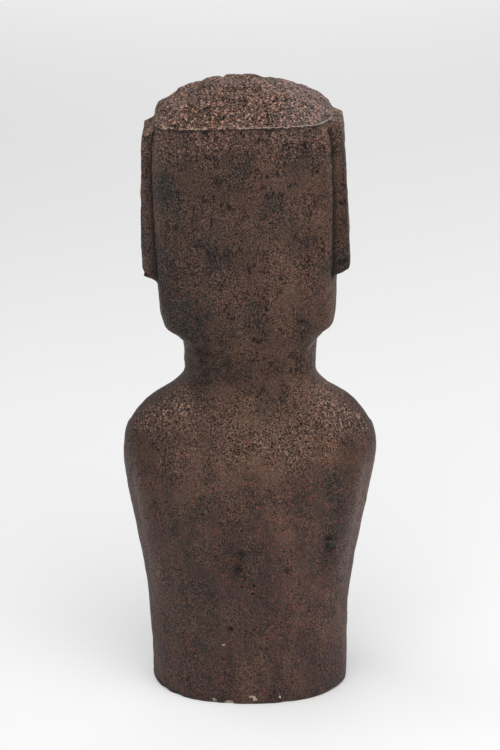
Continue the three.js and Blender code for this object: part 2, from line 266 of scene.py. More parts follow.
# The trunk's cut: ground round the arms, a fine line behind each upper arm, and the lines between the fingers
def trunkCut(fromBack, z):
    around = arms["aroundPerDegree"] * fromBack
    arm = onArm(around, z)
    fade = between(arms["groundBottom"], arms["groundTop"], z)
    ground = arms["relief"] * ease(*arms["groundAngles"], fromBack) * fade * (1 - arm)
    line = hump(fromBack, arms["lineAngle"], arms["lineSpread"])
    line = line * between(arms["lineBottom"], arms["lineTop"], z)
    onHand = between(arms["handStart"], arms["handEnd"], fromBack) * arm
    slant = z + arms["fingerSlant"] * (around - arms["handMiddle"])
    fingers = onHand * (0.5 - 0.5 * np.cos(2 * np.pi * slant / arms["fingerGap"])) ** 2
    return ground + arms["lineDepth"] * line + arms["fingerDepth"] * fingers


# Plain form: sections are rounded rectangles, the radius at an angle being that of a superellipse of
# the half width and depth there; the face moves it forward and the ears move it outward
def statueSurface(angles, levels):
    fromBack = np.minimum(angles, 360 - angles)[None, :]
    turn = np.radians(angles)[None, :]
    level = levels[:, None]
    sine, cosine = np.sin(turn), np.cos(turn)
    behind = cosine >= 0
    depth, power = (np.where(behind, curveThrough(form[back], level), curveThrough(form[front], level))
                    for back, front in (("depthBehind", "depthBefore"), ("squareBehind", "squareBefore")))
    width = curveThrough(form["halfWidth"], level)
    reach = (np.abs(sine / width) ** power + np.abs(cosine / depth) ** power) ** (-1 / power)
    atJaw = ease(form["jawReach"], 0, np.abs(level - form["jawLevel"]))
    drop = form["jawDrop"] * atJaw * ease(*form["jawBefore"], -cosine)
    dip = form["rimDip"] * ease(form["dipFrom"], form["rimLevel"], level) * ease(*form["dipBehind"], cosine)
    z = level - drop - dip
    radius = reach - trunkCut(fromBack, z)
    onFace = ease(*face["before"], -cosine) * ease(*face["above"], z)
    onSide = np.where(np.abs(sine) > ears["fromMiddle"], np.sign(sine), 0)
    x = radius * sine + onSide * earRelief(reach * cosine, z, np.sign(sine))
    y = radius * cosine - onFace * faceRelief(radius * sine, z)
    return x, y, z


# Low dome on the rim: each ring is the rim shrunk by k, its height falling from the top as a power of k
def crownSurface(x, y, z):
    k = 1 - (np.arange(1, mesh["crownRows"]) / mesh["crownRows"])[:, None]
    share = k ** form["domePower"]
    return x[-1] * k, y[-1] * k, z[-1] * share + figureHeight * (1 - share)


# The copy isn't quite the same on both sides: the back of the head sits to one side of the ears,
# and the trunk below the shoulders sways the same way
unevenness = dict(
    headShift=3.5, headDepths=(25, 80), headLevels=(470, 520),
    trunkSway=1.8, swayBottom=(20, 80), swayTop=(270, 330),
)


# Sideways shift as a share that eases in with depth and level on the head, and with level on the trunk
def shiftSides(x, y, z):
    onHead = ease(*unevenness["headDepths"], y) * ease(*unevenness["headLevels"], z)
    onTrunk = between(unevenness["swayBottom"], unevenness["swayTop"], z)
    return x + unevenness["headShift"] * onHead + unevenness["trunkSway"] * onTrunk


# The head leans sideways about the neck, by an angle that grows over the neck
def leanHead(x, z):
    neck = form["neckLevel"]
    lean = math.radians(form["headLean"]) * ease(neck - form["leanBelow"], neck + form["leanAbove"], z)
    up = z - neck
    return x * np.cos(lean) + up * np.sin(lean), neck - x * np.sin(lean) + up * np.cos(lean)


# Unit normals of a grid that closes round its columns, from the cross product of its two directions
def gridNormals(points):
    across = np.roll(points, -1, axis=1) - np.roll(points, 1, axis=1)
    normals = np.cross(np.gradient(points, axis=0), across)
    return normals / (np.linalg.norm(normals, axis=2, keepdims=True) + 1e-9)


# What the casting adds to the carved form, all of it sunk into the surface but the lip over each jaw fold,
# which only places a painted highlight
wearAndTear = dict(
    # mean depth of the uneven skin, what the crown adds to it, and the least depth
    sink=1.5, crownSink=1.7, leastSink=0.05,
    crownLevels=(758, 772),
    skin=[(70, 0.55, 11), (26, 0.5, 12), (11, 0.42, 13), (5.5, 0.26, 14)],  # cell, height, seed
    skinLimit=1.45,
    # rounded lumps of the crown with sharp gaps between them, higher on one side: cell, height, seed
    crownLumps=[(21, 4.4, 21), (9, 1.5, 22)], lumpFloor=0.6, lumpShare=0.45, lumpSides=(-40, 60),
    pits=150, pitRadius=(1.6, 3.6), pitDepth=(0.5, 1.5), pitSeed=5,
    # hollows that can be made out on the back: across, level, radius, depth
    namedPits=[(-99, 226, 5, 2.0), (-97, 214, 4, 2.2), (-103, 208, 4, 1.8), (11, 213, 5, 1.6),
               (15, 190, 5, 1.4), (-48, 188, 4, 1.6), (-65, 741, 4.5, 2.4), (-16, 688, 3, 1.4),
               (25, 108, 4, 2.0), (119, 7, 4, 1.6), (111, 3, 5, 1.8), (102, 4, 3, 1.2), (93, 2, 5, 1.5)],
    # chips that bare the pale core, most of them at the hem: across, level, half width, half height
    chips=[(46, 4, 3.4, 2.2), (27, 1.5, 6, 2.8), (-6, 8, 2.8, 4.2), (-1, 11.5, 4, 1.7), (-39, 9, 2.2, 2),
           (-47, 1, 8, 1.3), (33, 84, 2.2, 1.9)],
    chipDepth=1.6, chipFall=0.7,
    hemRound=2.2, hemHeight=5, flatBelow=3,
    # groove between each ear and the back of the head
    groove=3.0, grooveBehindEar=4.5, grooveSpread=2.6, grooveFrom=90,
    grooveBottom=(560, 572), grooveTop=(748, 760),
    # edges of the jaw from behind, as lines from one (across, level) to the other, with a lip over each fold;
    # the fold is sunk and darkened with painted shade, the lip only places a painted highlight
    jawFolds=[((-103, 494), (-77, 466)), ((101, 489), (85, 474))],
    foldDepth=1.6, foldAt=-1.5, foldSpread=2.0, lipAt=2.5, lipSpread=2.2,
    foldEnds=(3, 6), foldDepths=(20, 36), foldFacing=(0.2, 0.45),
    lobeCorner=2.6, cornerRise=3, cornerSpread=6, cornerAcross=(112, 120),
)


# Height of points above a line between two (across, level) places, and 1 alongside it, 0 past its ends
def fromLine(x, z, ends):
    (ax, az), (bx, bz) = ends
    dx, dz = bx - ax, bz - az
    long = math.hypot(dx, dz)
    within, past = wearAndTear["foldEnds"]
    along = ((x - ax) * dx + (z - az) * dz) / long
    over = ((x - ax) * dz - (z - az) * dx) / math.copysign(long, -dx)
    return over, between((-past, within), (long - within, long + past), along)


# Skin as the sum of value noises in four sizes; on the crown, twice a noise's size less a floor adds lumps
def unevenSkin(x, y, z, onCrown):
    w = wearAndTear
    skin = sum(height * latticeNoise(x, y, z, cell, seed) for cell, height, seed in w["skin"])
    lumps = sum(height * (2 * np.abs(latticeNoise(x, y, z, cell, seed)) - w["lumpFloor"])
                for cell, height, seed in w["crownLumps"])
    oneSided = w["lumpShare"] + (1 - w["lumpShare"]) * ease(*w["lumpSides"], x)
    return np.clip(skin, -w["skinLimit"], w["skinLimit"]) + onCrown * oneSided * lumps


# Pits as bells round random points, then hollows as flat-bottomed bells and chips as ovals on the back
def dentsAndChips(points):
    w = wearAndTear
    flat = points.reshape(-1, 3)
    x, y, z = flat.T
    rng = np.random.default_rng(w["pitSeed"])
    pick = rng.integers(0, len(flat), w["pits"])
    dent, chip = np.zeros(len(flat)), np.zeros(len(flat))
    for where in flat[pick]:
        radius, depth = rng.uniform(*w["pitRadius"]), rng.uniform(*w["pitDepth"])
        dent += depth * np.exp(-((flat - where) ** 2).sum(1) / radius**2)
    back = y > 0
    for across, level, radius, depth in w["namedPits"]:
        dent += back * depth * np.exp(-(((x - across) ** 2 + (z - level) ** 2) / radius**2) ** 2)
    for across, level, halfWide, halfHigh in w["chips"]:
        reach = ((x - across) / halfWide) ** 2 + ((z - level) / halfHigh) ** 2
        chip = np.maximum(chip, back * np.exp(-reach * w["chipFall"]))
    return dent.reshape(points.shape[:2]), chip.reshape(points.shape[:2])


# Fold under each edge of the jaw and the lip over it, as bells beside a line, on what faces backward; the
# fold gets painted shade and the lip a painted highlight
def jawFolds(points, normals):
    w = wearAndTear
    x, y, z = np.moveaxis(points, 2, 0)
    fold, lip = 0, 0
    for ends in w["jawFolds"]:
        over, along = fromLine(x, z, ends)
        along = along * ease(*w["foldDepths"], y) * ease(*w["foldFacing"], normals[..., 1])
        fold = fold + along * hump(over, w["foldAt"], w["foldSpread"])
        lip = lip + along * hump(over, w["lipAt"], w["lipSpread"])
    return fold, lip


# Every mark of the casting on the carved form, as shares or as depths in millimetres
def castingMarks(points, normals):
    w = wearAndTear
    x, y, z = np.moveaxis(points, 2, 0)
    onCrown = ease(*w["crownLevels"], z)
    dent, chip = dentsAndChips(points)
    fold, lip = jawFolds(points, normals)
    earLine = between(w["grooveBottom"], w["grooveTop"], z) * (np.abs(x) > w["grooveFrom"])
    groove = hump(y, ears["back"] + w["grooveBehindEar"], w["grooveSpread"]) * earLine
    uneven = unevenSkin(x, y, z, onCrown)
    return dict(onCrown=onCrown, uneven=uneven, dent=dent, chip=chip, fold=fold, lip=lip, groove=groove)


# Each point moves inward along its normal by the sum of the marks; near the floor it moves only sideways
def sinkMarks(points, normals, marks):
    w = wearAndTear
    x, z = points[..., 0], points[..., 2]
    hem = w["hemRound"] * (1 - ease(0, w["hemHeight"], z)) ** 2
    lobe = hump(z, ears["bottom"] + w["cornerRise"], w["cornerSpread"]) * ease(*w["cornerAcross"], np.abs(x))
    depth = (w["sink"] + w["crownSink"] * marks["onCrown"] - marks["uneven"] + w["lobeCorner"] * lobe
             + marks["dent"] + w["chipDepth"] * marks["chip"] + w["groove"] * marks["groove"]
             + w["foldDepth"] * marks["fold"] + hem)
    move = normals * np.maximum(depth, w["leastSink"])[..., None]
    move[..., 2] *= ease(0, w["flatBelow"], z)
    return points - move


# Where the grain coarsens, where painted shade, painted sheen and the painted highlight on the jaw's lips
# sit, and where the crown's rim line shows
coat = dict(
    behind=(10, 30), patchCell=45, patchSeed=31, patchShare=0.12,
    plainGrain=0.08, headGrain=0.12, headFrom=(430, 520), crownGrain=0.25,
    grainBands=[(0.36, 746, 26), (0.34, 355, 50)],  # share, level and spread of coarser grain on the back
    upGrain=0.45, upGrainHead=0.35, upHeadFrom=(500, 600), facingUp=(0.15, 0.75),
    earAcross=(106, 112), earBottom=(560, 570), earTop=(752, 762), earDepths=(35, 55),
    # painted shade: darker in the ear grooves, jaw folds, dents, sunken skin, on the back of the right ear
    # and at the foot by the floor
    shadeGroove=1.3, shadeFold=0.9, shadeDent=0.6, shadeLow=0.25, shadeEar=0.4, shadeHem=0.7, hemHeight=4,
    edgeFacing=(0.55, 0.85), edgeBottom=(110, 190), edgeTop=(300, 350), crownEnd=(-10, -72),
    paintedSheenEdge=0.4, paintedSheenCrown=0.95, paintedSheenEar=0.16, lipHighlight=0.7, rimAngles=(95, 50),
)


# Attributes that the material reads, as shares, but for overRim, the millimetres in from the crown's rim
def coatAttributes(points, normals, marks, overRim, fromBack):
    x, y, z = np.moveaxis(points, 2, 0)
    behind = ease(*coat["behind"], y)
    # grain is coarse on the crown, the ears' tops and the shoulders, and finer on upright faces; as it rises
    # where faces look up, its paler tops there are partly painted light from above
    bands = sum(share * hump(z, level, spread) for share, level, spread in coat["grainBands"]) * behind
    up = coat["upGrain"] + coat["upGrainHead"] * ease(*coat["upHeadFrom"], z)
    up = up * ease(*coat["facingUp"], normals[..., 2])
    patch = latticeNoise(x, y, z, coat["patchCell"], coat["patchSeed"])
    grain = (coat["plainGrain"] + coat["headGrain"] * ease(*coat["headFrom"], z) + up
             + coat["patchShare"] * patch + coat["crownGrain"] * marks["onCrown"] + bands)
    onEar = (ease(*coat["earAcross"], np.abs(x)) * between(coat["earBottom"], coat["earTop"], z)
             * ease(*coat["earDepths"], y))
    # painted shade where the skin sinks, at the foot by the floor, in grooves, jaw folds and dents, and on
    # the back of the right ear
    low = np.clip(-marks["uneven"], 0, 1) * (1 - marks["onCrown"])
    hem = (1 - ease(0, coat["hemHeight"], z)) * (1 - marks["chip"])
    paintedShade = (coat["shadeGroove"] * marks["groove"] + coat["shadeFold"] * marks["fold"]
             + coat["shadeDent"] * marks["dent"] + coat["shadeLow"] * low
             + coat["shadeEar"] * onEar * (x < 0) + coat["shadeHem"] * hem)
    # painted sheen: pale strips on the trunk's edges, the crown's right end and a lighter left ear
    trunkEdge = (ease(*coat["edgeFacing"], np.abs(normals[..., 0])) * behind
                 * between(coat["edgeBottom"], coat["edgeTop"], z))
    crownEnd = marks["onCrown"] * ease(*coat["crownEnd"], x)
    paintedSheen = coat["paintedSheenEdge"] * trunkEdge + coat["paintedSheenCrown"] * crownEnd + coat["paintedSheenEar"] * onEar * (x > 0)
    # the lip over each jaw fold gets a pale painted highlight
    shares = dict(grain=grain, paintedHighlight=coat["lipHighlight"] * marks["lip"], paintedShade=paintedShade, chip=marks["chip"],
                  paintedSheen=paintedSheen, rimShow=ease(*coat["rimAngles"], fromBack) + 0 * x)
    shares = {name: np.clip(values, 0, 1) for name, values in shares.items()}
    return dict(shares, overRim=overRim + 0 * x)


# Faces of a grid closed round its columns, with a fan to a pole under its first row and over its last
def gridFaces(rows, columns):
    here = np.arange(columns)
    after = (here + 1) % columns
    row = np.arange(rows - 1)[:, None] * columns
    quads = np.stack([row + here, row + columns + here, row + columns + after, row + after], axis=2)
    last = (rows - 1) * columns
    under = np.stack([here, after, np.full(columns, rows * columns)], axis=1)
    over = np.stack([last + after, last + here, np.full(columns, rows * columns + 1)], axis=1)
    return quads.reshape(-1, 4).tolist() + under.tolist() + over.tolist()


# Attribute values at the poles in the underside and on the crown, where they aren't 0
atPoles = dict(grain=(0.1, 0.95), overRim=(-700, 90))


def buildStatue():
    angles, levels = columnAngles(mesh["columns"]), rowLevels()
    carved = statueSurface(angles, levels)
    x, y, z = (np.vstack(pair) for pair in zip(carved, crownSurface(*carved)))
    x, z = leanHead(shiftSides(x, y, z), z)
    points = np.stack([x, y, z], axis=2)
    normals = gridNormals(points)
    marks = castingMarks(points, normals)
    rings = mesh["crownReach"] * np.arange(1, mesh["crownRows"]) / mesh["crownRows"]
    overRim = np.concatenate([levels - form["rimLevel"], rings])[:, None]
    looks = coatAttributes(points, normals, marks, overRim, np.minimum(angles, 360 - angles)[None, :])
    sunk = sinkMarks(points, normals, marks)
    topX, topZ = leanHead(0.0, float(figureHeight))
    poles = np.array([[0, 0, 0], [topX, 0, topZ - wearAndTear["sink"]]])
    verts = np.vstack([sunk.reshape(-1, 3), poles]) * mm
    verts[:, 2] = np.maximum(verts[:, 2], 0)
    data = bpy.data.meshes.new("moaiCasting")
    data.from_pydata(verts, [], gridFaces(*sunk.shape[:2]))
    for name, values in looks.items():
        layer = data.attributes.new(name, "FLOAT", "POINT")
        values = np.append(values.ravel(), atPoles.get(name, (0, 0)))
        layer.data.foreach_set("value", values.astype(np.float32))
    data.polygons.foreach_set("use_smooth", np.ones(len(data.polygons), bool))
    data.update()
    statue = bpy.data.objects.new("moai_casting", data)
    bpy.context.collection.objects.link(statue)
    return statue


# Colours as linear values: the paint's own, and some that paint light and shade, as told beside them
paint = dict(
    umber=(0.162, 0.084, 0.057), clay=(0.255, 0.145, 0.099), slateAndShade=(0.036, 0.033, 0.029),
    # wine near the floor; a near-black for the dark undercoat in the grain's gaps, for painted shade and for
    # darkening low on the trunk; a paler brown on the crown
    wine=(0.126, 0.062, 0.057), nearBlack=(0.003, 0.0025, 0.0025), crownBrown=(0.222, 0.140, 0.111),
    # copper paint that also paints highlights on the grain, reddish flecks that also paint a highlight round
    # each pit, the pale core under chips, and a pale line for the crown's rim that is also the painted
    # highlight on the jaw's lips
    copperAndHighlight=(1.0, 0.56, 0.40), fleckAndPitHighlight=(0.28, 0.085, 0.042), core=(0.70, 0.60, 0.47), paleLine=(0.70, 0.62, 0.57),
    # the rim line's warmer side, and a lavender that paints sheen
    paleLineWarm=(0.80, 0.56, 0.43), sheenLavender=(0.36, 0.285, 0.28),
)

# Noises of the paint: scale, detail, roughness and, where it isn't 0, distortion
noises = dict(
    coarse=(490, 1.5, 0.5, 0.8), fine=(590, 1.5, 0.55, 0.5),
    patches=(24, 4.0, 0.55, 0.6), paler=(15, 4.0, 0.6, 0.8), speckle=(110, 4.0, 0.7),
    clusters=(42, 3.0, 0.6), creases=(75, 3.0, 0.6, 1.2), creaseGroups=(60, 2.0, 0.55),
    flecks=(260, 2.0, 0.5, 0.9), rimWander=(150, 3.0, 0.6), rimGaps=(190, 2.0, 0.6), chipEdge=(380, 3.0, 0.7),
)

# Voronoi cells of the paint: scale, then scale and reach of the noise that bends them
bentCells = dict(dots=(280.0, 330.0, 0.005), pits=(62.0, 260.0, 0.006))

# Smooth steps: where one starts and ends, then its values there if they aren't 0 and 1. Places on the figure
# are in metres, distances from the crown's rim in millimetres, and all else is a share.
steps = dict(
    # the first two steps darken one flank with painted shade
    paintedShadeFlank=(-0.01, 0.17, 0.0, 0.42), flankEdge=(0.118, 0.104),
    slatePatches=(0.43, 0.66, 0.0, 0.66), slateSpeckle=(0.5, 0.66, 0.0, 0.3),
    slateHead=(0.36, 0.5, 0.62, 1.0), slateTrunk=(0.33, 0.27, 0.0, 0.2), slateGrain=(0.2, 0.6, 1.0, 0.7),
    wineLevels=(0.38, 0.14), clayPatches=(0.44, 0.64, 0.0, 0.7),
    # the shoulders get painted light, and their outer ends painted shade
    shoulderBottom=(0.29, 0.36), shoulderTop=(0.44, 0.4, 0.0, 0.95), shoulderSide=(0.13, 0.04),
    outerAcross=(0.095, 0.13), outerBottom=(0.27, 0.32), outerTop=(0.43, 0.38, 0.0, 0.3),
    streakWidth=(0.045, 0.0, 0.0, 0.5), streakLevels=(0.46, 0.54),
    smearWidth=(0.034, 0.004, 0.0, 0.85), smearBottom=(0.14, 0.2), smearTop=(0.34, 0.3),
    smearPatches=(0.35, 0.55, 0.4, 1.0),
    crownGrain=(0.35, 0.9), trunkDark=(0.33, 0.24, 0.0, 0.13),
    clusters=(0.38, 0.6, 0.35, 1.0), roughGrain=(0.3, 0.9),
    roughShoulders=(0.3, 0.36, 0.0, 0.2), roughBase=(0.16, 0.04, 0.0, 0.15),
    gaps=(0.52, 0.42), gapsGrain=(0.0, 0.5, 0.82, 0.98), paintedSheenGrain=(0.3, 0.6, 0.3, 1.0),
    tops=(0.54, 0.63), topsGrain=(0.05, 0.75, 0.11, 0.5), topsCrown=(0.6, 0.9, 1.0, 0.45),
    trunkSide=(0.09, 0.14), trunkTop=(0.46, 0.42),
    dotSize=(0.46, 0.28), dotStrength=(0.22, 0.55), dotGrain=(0.5, 0.85), dotPatches=(0.36, 0.5, 0.6, 1.0),
    creaseWidth=(0.036, 0.017), creaseGroups=(0.53, 0.62), creaseLevels=(0.36, 0.46, 0.4, 0.95),
    flecks=(0.59, 0.67), fleckLevels=(0.3, 0.4, 0.85, 0.5),
    pitSize=(0.45, 1.0, 0.01, 0.17), pitPatches=(0.3, 0.6, 0.5, 1.2), pitHole=(1.0, 0.75), pitRingHighlight=(1.9, 1.1),
    rimGaps=(0.47, 0.53), rimWhole=(0.0, -0.07, 0.0, 0.8), rimWidth=(-0.05, 0.02, 1.0, 2.6),
    rimShadeTop=(-0.6, -2.0), rimShadeBottom=(-7.0, -3.0), rimColour=(-0.06, 0.0),
    chipEdge=(1.37, 1.45),
    ridgeGrain=(0.0, 1.0, 0.75, 1.0), trunkRelief=(0.3, 0.36, 0.76, 1.0), dull=(0.35, 0.65, 0.66, 0.46),
)

# Strengths as shares, places across the figure in metres, and the rim's wander and thinness in millimetres
stone = dict(
    tallShift=(3.1, 1.7, 0.4), tallScale=(1, 1, 0.5),
    flankSway=0.12, streakAt=-0.048, streakSway=0.08, smearAt=-0.104, smearSway=0.05,
    sideTops=0.6, pitRingHighlight=0.45, pitHole=0.97, paintedShade=0.85,
    rimWander=9.0, rimThin=0.3, rimShade=0.6, rimLine=0.95, paintedHighlight=0.45, chipEdge=1.7,
    pitRelief=1.2, creaseRelief=0.5, speckleRelief=0.7, bump=0.0115, slateShine=0.1, specular=0.28,
)


class Nodes:
    # Short calls that add a node, set its inputs and link what is a socket
    def __init__(self, tree):
        self.tree = tree

    def add(self, kind, inputs=None, **fields):
        node = self.tree.nodes.new(kind)
        for key, value in fields.items():
            setattr(node, key, value)
        for key, value in (inputs or {}).items():
            self.fill(node.inputs[key], value)
        return node

    def fill(self, socket, value):
        if isinstance(value, bpy.types.NodeSocket):
            self.tree.links.new(value, socket)
        else:
            socket.default_value = value

    def math(self, operation, a, b=0.0, clamp=False):
        return self.add("ShaderNodeMath", {0: a, 1: b}, operation=operation, use_clamp=clamp).outputs[0]

    def plus(self, a, b):
        return self.math("ADD", a, b)

    # Sum that stops at 1
    def plusToOne(self, a, b):
        return self.math("ADD", a, b, True)

    def minus(self, a, b):
        return self.math("SUBTRACT", a, b)

    def times(self, first, *others):
        for other in others:
            first = self.math("MULTIPLY", first, other)
        return first

    # Distance of a value from another
    def away(self, value, middle=0.0):
        return self.math("ABSOLUTE", self.minus(value, middle))

    def step(self, value, name):
        return self.span(value, *steps[name])

    def span(self, value, low, high, start=0.0, end=1.0):
        ends = {"Value": value, "From Min": low, "From Max": high, "To Min": start, "To Max": end}
        return self.add("ShaderNodeMapRange", ends, interpolation_type="SMOOTHSTEP").outputs["Result"]

    def noise(self, where, name):
        scale, detail, rough, *rest = noises[name]
        node = self.add("ShaderNodeTexNoise", {"Vector": where, "Scale": scale, "Detail": detail,
                                               "Roughness": rough, "Distortion": rest[0] if rest else 0.0})
        return node.outputs["Fac"]

    # Cells of a Voronoi texture, their edges bent by a noise
    def cells(self, where, name):
        scale, bendScale, reach = bentCells[name]
        bend = self.add("ShaderNodeTexNoise", {"Vector": where, "Scale": bendScale}).outputs["Color"]
        bend = self.add("ShaderNodeVectorMath", {0: bend, "Scale": reach}, operation="SCALE")
        bent = self.add("ShaderNodeVectorMath", {0: where, 1: bend.outputs["Vector"]}, operation="ADD")
        return self.add("ShaderNodeTexVoronoi", {"Vector": bent.outputs["Vector"], "Scale": scale}).outputs

    # Second colour over the first by a factor; a colour is a socket or the name of a paint
    def blend(self, factor, under, over):
        node = self.add("ShaderNodeMix", {0: factor}, data_type="RGBA", blend_type="MIX")
        for socket, colour in ((node.inputs[6], under), (node.inputs[7], over)):
            self.fill(socket, (*paint[colour], 1) if isinstance(colour, str) else colour)
        return node.outputs[2]

    def attribute(self, name):
        return self.add("ShaderNodeAttribute", attribute_name=name).outputs["Fac"]


# Sockets that several parts of the paint read: places in metres, the grain, and the noises of the ground
def commonSockets(net):
    place = net.add("ShaderNodeTexCoord").outputs["Object"]
    axes = net.add("ShaderNodeSeparateXYZ", {"Vector": place}).outputs
    tall = net.add("ShaderNodeMapping", {"Vector": place, "Location": stone["tallShift"],
                                         "Scale": stone["tallScale"]}).outputs["Vector"]
    grain, fine = net.attribute("grain"), net.noise(place, "fine")
    # grain in two sizes: short ridges where it is coarse, fine sand elsewhere
    ridge = net.plus(net.times(net.noise(place, "coarse"), grain), net.times(fine, net.minus(1.0, grain)))
    return dict(place=place, tall=tall, across=axes["X"], level=axes["Z"], grain=grain, fine=fine,
                ridge=ridge, patches=net.noise(tall, "patches"), paler=net.noise(tall, "paler"),
                speckle=net.noise(place, "speckle"))


# Upright band at one place across the figure, that sways with the paler noise
def uprightBand(net, at, middle, sway, width):
    swayed = net.plus(at["across"], net.times(net.minus(at["paler"], 0.5), sway))
    return net.step(net.away(swayed, middle), width)


# Slate patches that run down the figure, with painted shade darkening the flank on one side
def slatePatches(net, at):
    paintedShadeFlank = net.plus(at["across"], net.times(at["paler"], stone["flankSway"]))
    paintedShadeFlank = net.times(net.step(paintedShadeFlank, "paintedShadeFlank"), net.step(at["across"], "flankEdge"))
    patches = net.plusToOne(net.step(at["patches"], "slatePatches"), net.step(at["speckle"], "slateSpeckle"))
    byLevel = net.plus(net.step(at["level"], "slateHead"), net.step(at["level"], "slateTrunk"))
    return net.times(net.plusToOne(patches, paintedShadeFlank), byLevel, net.step(at["grain"], "slateGrain"))


# Umber ground under the slate, with painted light paling the shoulders and painted shade darkening their
# outer ends, browner on the crown, wine near the floor and darker low on the trunk
def groundPaint(net, at, slateAndShade):
    across, level = at["across"], at["level"]
    colour = net.blend(net.step(level, "wineLevels"), "umber", "wine")
    colour = net.blend(net.step(at["paler"], "clayPatches"), colour, "clay")
    paintedShadeOuter = net.step(net.away(across), "outerAcross")
    paintedLightShoulders = net.times(net.step(level, "shoulderBottom"), net.step(level, "shoulderTop"),
                          net.minus(1.0, paintedShadeOuter), net.step(across, "shoulderSide"))
    colour = net.blend(paintedLightShoulders, colour, "clay")
    streak = uprightBand(net, at, stone["streakAt"], stone["streakSway"], "streakWidth")
    colour = net.blend(net.times(streak, net.step(level, "streakLevels")), colour, "clay")
    colour = net.blend(slateAndShade, colour, "slateAndShade")
    smear = uprightBand(net, at, stone["smearAt"], stone["smearSway"], "smearWidth")
    smear = net.times(smear, net.step(level, "smearBottom"), net.step(level, "smearTop"),
                      net.step(at["patches"], "smearPatches"))
    colour = net.blend(smear, colour, "slateAndShade")
    colour = net.blend(net.step(at["grain"], "crownGrain"), colour, "crownBrown")
    colour = net.blend(net.step(level, "trunkDark"), colour, "nearBlack")
    paintedShadeOuter = net.times(net.step(level, "outerBottom"), net.step(level, "outerTop"), paintedShadeOuter)
    return net.blend(paintedShadeOuter, colour, "nearBlack")


# Painted sheen, then dark gaps between the grains as dark undercoat and painted shade, copper on their tops,
# fewer on the trunk's sides, and copper dots where the grain is coarse, both copper paint and painted
# highlight
def grainPaint(net, at, colour):
    level, grain, ridge = at["level"], at["grain"], at["ridge"]
    rough = net.step(net.noise(at["tall"], "clusters"), "clusters")
    rough = net.plusToOne(rough, net.step(grain, "roughGrain"))
    rough = net.plusToOne(rough, net.step(level, "roughShoulders"))
    rough = net.plusToOne(rough, net.step(level, "roughBase"))
    # painted sheen, in lavender
    paintedSheen = net.times(net.attribute("paintedSheen"), net.step(at["fine"], "paintedSheenGrain"))
    colour = net.blend(paintedSheen, colour, "sheenLavender")
    gaps = net.times(net.step(ridge, "gaps"), net.step(grain, "gapsGrain"), rough)
    colour = net.blend(gaps, colour, "nearBlack")
    side = net.times(net.step(net.away(at["across"]), "trunkSide"), net.step(level, "trunkTop"))
    tops = net.times(net.step(ridge, "tops"), net.step(grain, "topsGrain"), net.step(grain, "topsCrown"),
                     net.minus(1.0, net.times(side, stone["sideTops"])), rough)
    colour = net.blend(tops, colour, "copperAndHighlight")
    grit = net.cells(at["place"], "dots")
    dots = net.times(net.step(grit["Distance"], "dotSize"), net.step(grit["Color"], "dotStrength"),
                     net.step(grain, "dotGrain"), net.step(at["patches"], "dotPatches"))
    return net.blend(dots, colour, "copperAndHighlight")


# Short dark creases, mostly on the head, stray reddish flecks, and pits of several sizes darkened with
# painted shade, with a painted reddish highlight round their edges; then the painted shade of the mesh
# attribute
def creasesAndPits(net, at, colour):
    level = at["level"]
    crease = net.step(net.away(net.noise(at["tall"], "creases"), 0.5), "creaseWidth")
    crease = net.times(crease, net.step(net.noise(at["place"], "creaseGroups"), "creaseGroups"),
                       net.step(level, "creaseLevels"))
    colour = net.blend(crease, colour, "nearBlack")
    flecks = net.times(net.step(net.noise(at["place"], "flecks"), "flecks"), net.step(level, "fleckLevels"))
    colour = net.blend(flecks, colour, "fleckAndPitHighlight")
    pits = net.cells(at["place"], "pits")
    size = net.times(net.step(pits["Color"], "pitSize"), net.step(at["patches"], "pitPatches"))
    reach = net.math("DIVIDE", pits["Distance"], size)
    holes = net.step(reach, "pitHole")
    colour = net.blend(net.times(net.step(reach, "pitRingHighlight"), stone["pitRingHighlight"]), colour, "fleckAndPitHighlight")
    colour = net.blend(net.times(holes, stone["pitHole"]), colour, "nearBlack")
    # painted shade, from the mesh attribute for grooves, jaw folds, dents, sunken skin, the right ear and the
    # foot
    return net.blend(net.times(net.attribute("paintedShade"), stone["paintedShade"]), colour, "nearBlack"), crease, holes


# Pale line along the crown's rim, broken on one side of the figure, with painted shade under it; then the
# painted highlight on the jaw's lips
def rimLineShadeAndHighlight(net, at, colour):
    across, place = at["across"], at["place"]
    wander = net.times(net.minus(net.noise(place, "rimWander"), 0.5), stone["rimWander"])
    fromEdge = net.plus(net.attribute("overRim"), wander)
    show = net.attribute("rimShow")
    kept = net.plusToOne(net.step(net.noise(place, "rimGaps"), "rimGaps"), net.step(across, "rimWhole"))
    line = net.times(net.span(net.away(fromEdge), net.step(across, "rimWidth"), stone["rimThin"]), kept, show)
    shade = net.times(net.step(fromEdge, "rimShadeTop"), net.step(fromEdge, "rimShadeBottom"), show)
    colour = net.blend(net.times(shade, stone["rimShade"]), colour, "nearBlack")
    edge = net.blend(net.step(across, "rimColour"), "paleLine", "paleLineWarm")
    colour = net.blend(net.times(line, stone["rimLine"]), colour, edge)
    # painted highlight on the jaw's lips
    return net.blend(net.times(net.attribute("paintedHighlight"), stone["paintedHighlight"]), colour, "paleLine")


# Relief under the paint: ridges and speckle raised, pits and creases sunk, lower on the trunk
def paintRelief(net, at, crease, holes):
    sunk = net.plus(net.times(holes, stone["pitRelief"]), net.times(crease, stone["creaseRelief"]))
    height = net.minus(net.times(at["ridge"], net.step(at["grain"], "ridgeGrain")), sunk)
    height = net.plus(height, net.times(at["speckle"], stone["speckleRelief"]))
    height = net.times(height, net.step(at["level"], "trunkRelief"))
    bump = net.add("ShaderNodeBump", {"Height": height, "Strength": 1.0, "Distance": stone["bump"]})
    return bump.outputs["Normal"]


